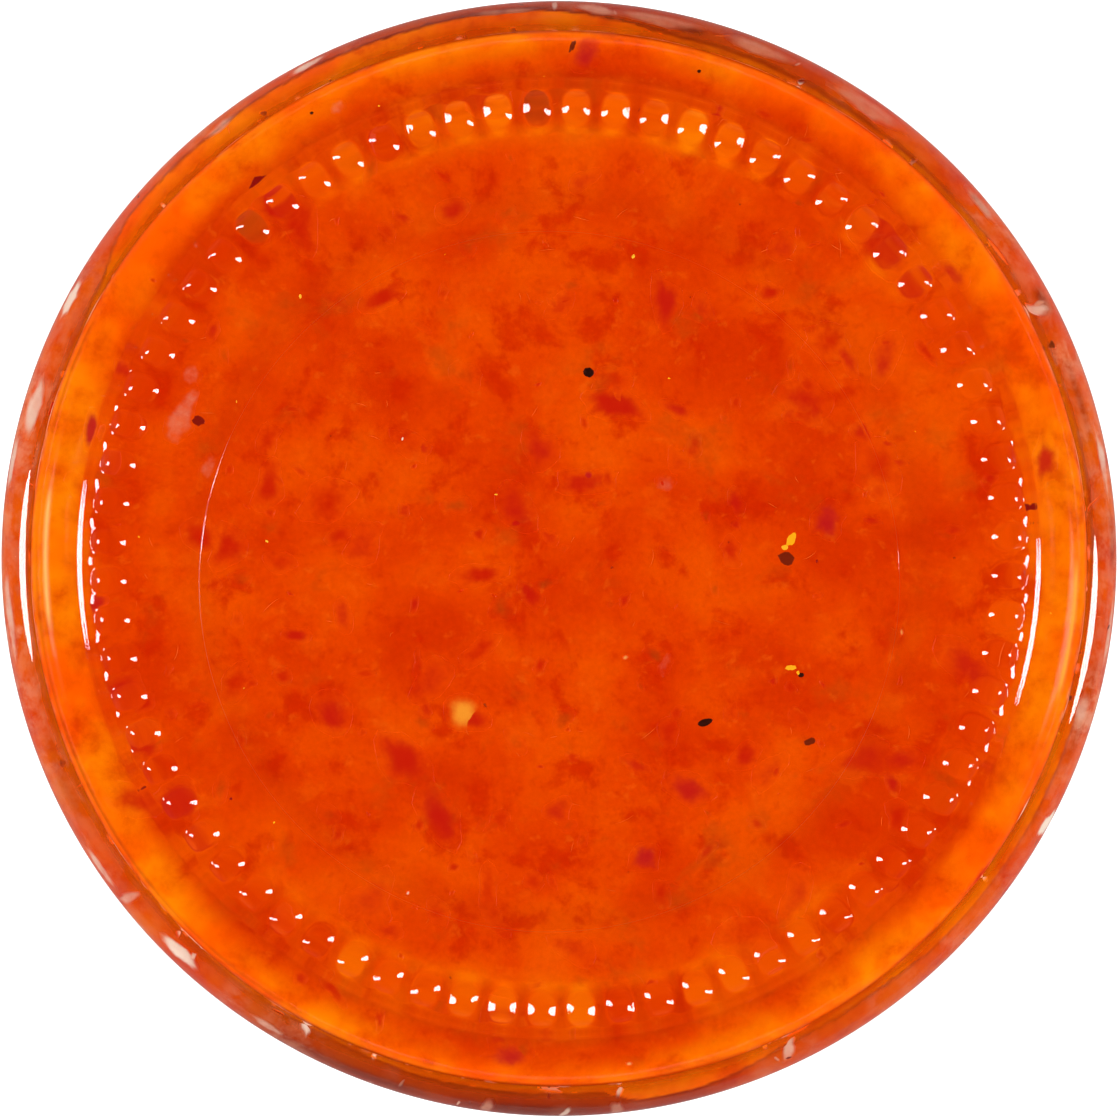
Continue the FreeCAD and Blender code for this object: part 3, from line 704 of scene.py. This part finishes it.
# On the wall: the angle in degrees, the height over its start, the length and width, the tint and the cover.
for azimuth, height, long, tall, tint, most in (
        (152, 1.3, 3.0, 1.4, 0.8, 1.0), (164, 2.0, 4.6, 1.6, 0.6, 0.8), (170, 1.0, 5.0, 0.9, 0.7, 0.7),
        (186, 1.4, 6.0, 1.2, 0.6, 0.6), (117, 1.2, 3.2, 1.0, 0.5, 0.8), (86, 1.6, 3.4, 1.3, 0.1, 0.7),
        (79.5, 1.9, 6.8, 1.5, 0.0, 0.6), (68.5, 1.9, 5.4, 1.6, 0.0, 0.6), (55.5, 2.0, 6.8, 1.7, 0.0, 0.55),
        (96, 1.7, 5.0, 0.9, 0.0, 0.5), (-28.5, 1.0, 2.6, 1.2, 1.0, 1.0), (226, 2.0, 3.4, 1.6, 0.9, 0.9),
        (214, 1.3, 4.6, 0.9, 0.5, 0.6), (238, 1.6, 3.0, 0.9, 0.3, 0.6), (10, 1.4, 5.4, 1.0, 0.6, 0.6),
        (-8, 1.0, 5.6, 0.8, 0.7, 0.6), (-16, 2.2, 3.0, 1.2, 0.4, 0.5), (262.5, 1.2, 1.0, 2.6, 0.1, 0.5),
        (276, 1.2, 1.0, 2.4, 0.1, 0.5), (128, 1.8, 3.0, 1.0, 0.3, 0.5), (40, 1.6, 3.6, 1.2, 0.2, 0.5)):
    shreds.append((wall_way - 0.6 + height, math.radians(azimuth), long, tall, math.pi / 2, tint, most))
shreds += strewn(np.random.default_rng(61), 46, wall_way, wall_way + 7, (0.6, 3.0), (0, 0.9), (0.4, 0.9),
                 (0.25, 0.5))
shreds += strewn(np.random.default_rng(62), 120, wall_way + 8, wall_end, (1.2, 6.0), (0, 0.6), (0.3, 0.8),
                 (0.2, 0.5))
shred = bits_in_skin("onion_shreds", shreds, lift=0.04, depth=0.4, ragged=0.25, feather=0.6, seed=63)
# Boiled glassy: pinkish where the pulp shows through, cream where it is thick.
shred.data.materials.append(bit_paint("onion_boiled_glassy", "#D8866A", "#FFEBD8", soft=0.9, most=0.85))
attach(shred, "root")


# --- The fibres ------------------------------------------------------------------------------------------
# Fine pale fibres of tomato and pepper flesh, 0.4 to 2.4 mm long and at most 0.05 mm thick. They lie in the
# very skin, slightly bent.

dice = np.random.default_rng(71)
vertices, faces = [], []
for way, turn, length, _, spin, _, _ in (strewn(dice, 90, 0, base_edge, (0.4, 1.5))
                                         + strewn(dice, 300, wall_way + 0.5, wall_end, (0.8, 2.4))):
    bend, half = dice.normal(0, 0.25), dice.uniform(0.012, 0.026)
    rings = []
    for t in np.linspace(-0.5, 0.5, 6):
        heading, thick = spin + bend * t, half * math.sqrt(max(0.05, 1 - (2 * t) ** 2))
        up, across = length * t * math.cos(heading), length * t * math.sin(heading)
        side = np.array([(1, 0), (0, 1), (-1, 0), (0, -1)]) * thick
        own_ways, own_turns = beside(way, turn, up - side[:, 0] * math.sin(heading),
                                     across + side[:, 0] * math.cos(heading))
        rings.append(on_skin(own_ways, own_turns, side[:, 1] + 0.008))
    shape, sheets = skin_rings(rings)
    faces += [[i + len(vertices) for i in sheet] for sheet in sheets]
    vertices += shape
fibre = solid("tomato_fibres", vertices, faces)
# Boiled fibre: a thin orange line, a little paler than the pulp.
fibre_paint, tree, out = new_material("tomato_fibre_boiled")
threads = put(tree, "ShaderNodeBsdfPrincipled", {"Base Color": paint("#EE5C1C"), "Roughness": 0.4,
                                                 "Specular IOR Level": 0.04})
tree.links.new(threads.outputs[0], out.inputs["Surface"])
fibre.data.materials.append(fibre_paint)
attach(fibre, "root")


# --- The lid ---------------------------------------------------------------------------------------------
# A twist-off lid, pressed from tinplate that was lacquered gold first. It has a sunken panel, a rolled edge
# and four lugs, which hold it on the neck's threads.

# Baked gold lacquer on bright tin: a warm metal with a soft, slightly blurred shine.
lid_paint, tree, out = new_material("tinplate_gold_lacquered")
lacquer = put(tree, "ShaderNodeBsdfPrincipled", {"Base Color": paint("#D9B36A"), "Metallic": 1.0,
                                                 "Roughness": 0.28})
tree.links.new(lacquer.outputs[0], out.inputs["Surface"])
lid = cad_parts["lid"]
lid.data.materials.clear()
lid.data.materials.append(lid_paint)


# --- The floor, the backdrop and the light ---------------------------------------------------------------
# A white sweep under a dark ceiling, with two soft boxes left and right of the jar, and four wide, low and
# dim ones round it, which light its sides.

bpy.ops.mesh.primitive_plane_add(size=6.0, location=(0, 0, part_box("lid")[0].z - 0.0001))
floor = bpy.context.object
floor.name = "white_floor"
# Matt paper: white to the eye, and dim in the glass, so that it lays no veil over the pulp.
floor_paint, tree, out = new_material("white_paper_matt")
path = put(tree, "ShaderNodeLightPath")
seen = put(tree, "ShaderNodeMath", {0: path.outputs["Is Glossy Ray"], 1: path.outputs["Is Transmission Ray"]},
           operation="MAXIMUM")
seen = put(tree, "ShaderNodeMath", {0: seen.outputs[0], 1: 0.15}, operation="MULTIPLY")
seen = put(tree, "ShaderNodeMath", {0: path.outputs["Is Camera Ray"], 1: seen.outputs[0]},
           operation="MAXIMUM")
shade = put(tree, "ShaderNodeMix", {0: seen.outputs[0], 6: (0.13, 0.13, 0.13, 1), 7: (0.6, 0.6, 0.6, 1)},
            data_type="RGBA")
matt = put(tree, "ShaderNodeBsdfDiffuse", {"Color": shade.outputs[2]})
glow = put(tree, "ShaderNodeEmission", {"Color": (1, 1, 1, 1), "Strength": 0.7})
both = put(tree, "ShaderNodeAddShader", {0: matt.outputs[0], 1: glow.outputs[0]})
lit = put(tree, "ShaderNodeMixShader", {0: seen.outputs[0], 1: matt.outputs[0], 2: both.outputs[0]})
tree.links.new(lit.outputs[0], out.inputs["Surface"])
floor.data.materials.append(floor_paint)

world = bpy.data.worlds.new("studio")
scene.world = world
world.use_nodes = True
tree = world.node_tree
tree.nodes.clear()
out = put(tree, "ShaderNodeOutputWorld")
way = put(tree, "ShaderNodeSeparateXYZ", {0: put(tree, "ShaderNodeTexCoord").outputs["Generated"]})
sky = put(tree, "ShaderNodeValToRGB", {"Fac": way.outputs["Z"]}, stops=[
    (0.05, (0.15, 0.15, 0.15, 1)), (0.8, (0, 0, 0, 1)), (0.12, (0.08, 0.08, 0.08, 1)),
    (0.5, (0.05, 0.05, 0.05, 1))])
path = put(tree, "ShaderNodeLightPath")
seen = put(tree, "ShaderNodeMix", {0: path.outputs["Is Camera Ray"], 6: sky.outputs[0], 7: (1, 1, 1, 1)},
           data_type="RGBA")
air = put(tree, "ShaderNodeBackground", {"Color": seen.outputs[2], "Strength": 1.0})
tree.links.new(air.outputs[0], out.inputs["Surface"])

# The lamps: azimuth and climb in degrees, width and height in metres, and watts.
focus, lamp_reach = np.array([0, 0, base_top]), 0.8
for side, azimuth, climb, wide, tall, power in (
        ("left", 180.8, 45, 0.2, 0.31, 3.2), ("right", -7.8, 45, 0.2, 0.31, 3.2),
        ("front", -90, 12, 1.2, 0.3, 5.7), ("back", 90, 12, 1.2, 0.3, 5.7),
        ("low_left", 180, 9, 1.0, 0.24, 3.6), ("low_right", 0, 9, 1.0, 0.24, 3.6)):
    turn, climb = math.radians(azimuth), math.radians(climb)
    lamp = bpy.data.lights.new(f"soft_box_{side}", "AREA")
    lamp.shape, lamp.size, lamp.size_y, lamp.energy = "ELLIPSE", wide, tall, power
    box = bpy.data.objects.new(lamp.name, lamp)
    reach = np.array([math.cos(turn) * math.cos(climb), math.sin(turn) * math.cos(climb), math.sin(climb)])
    box.location = focus + lamp_reach * reach
    box.rotation_euler = Vector(reach).to_track_quat("Z", "Y").to_euler()
    box.visible_glossy = side in ("left", "right")          # the low ones are behind cloth
    scene.collection.objects.link(box)


# --- The camera ------------------------------------------------------------------------------------------
# It looks straight down on the base from 0.75 m. Its lens is long enough for the heel, the widest ring in
# view, to reach almost to the edges.

away, heel_depth, half_view = 0.75, 3.75 * mm, 37.62 * mm
lens = bpy.data.cameras.new("overhead_camera")
lens.sensor_width, lens.lens = 36.0, 36.0 / 2 / (half_view / (away + heel_depth))
camera = bpy.data.objects.new("overhead_camera", lens)
camera.location = (0, 0, base_top + away)
scene.collection.objects.link(camera)
scene.camera = camera
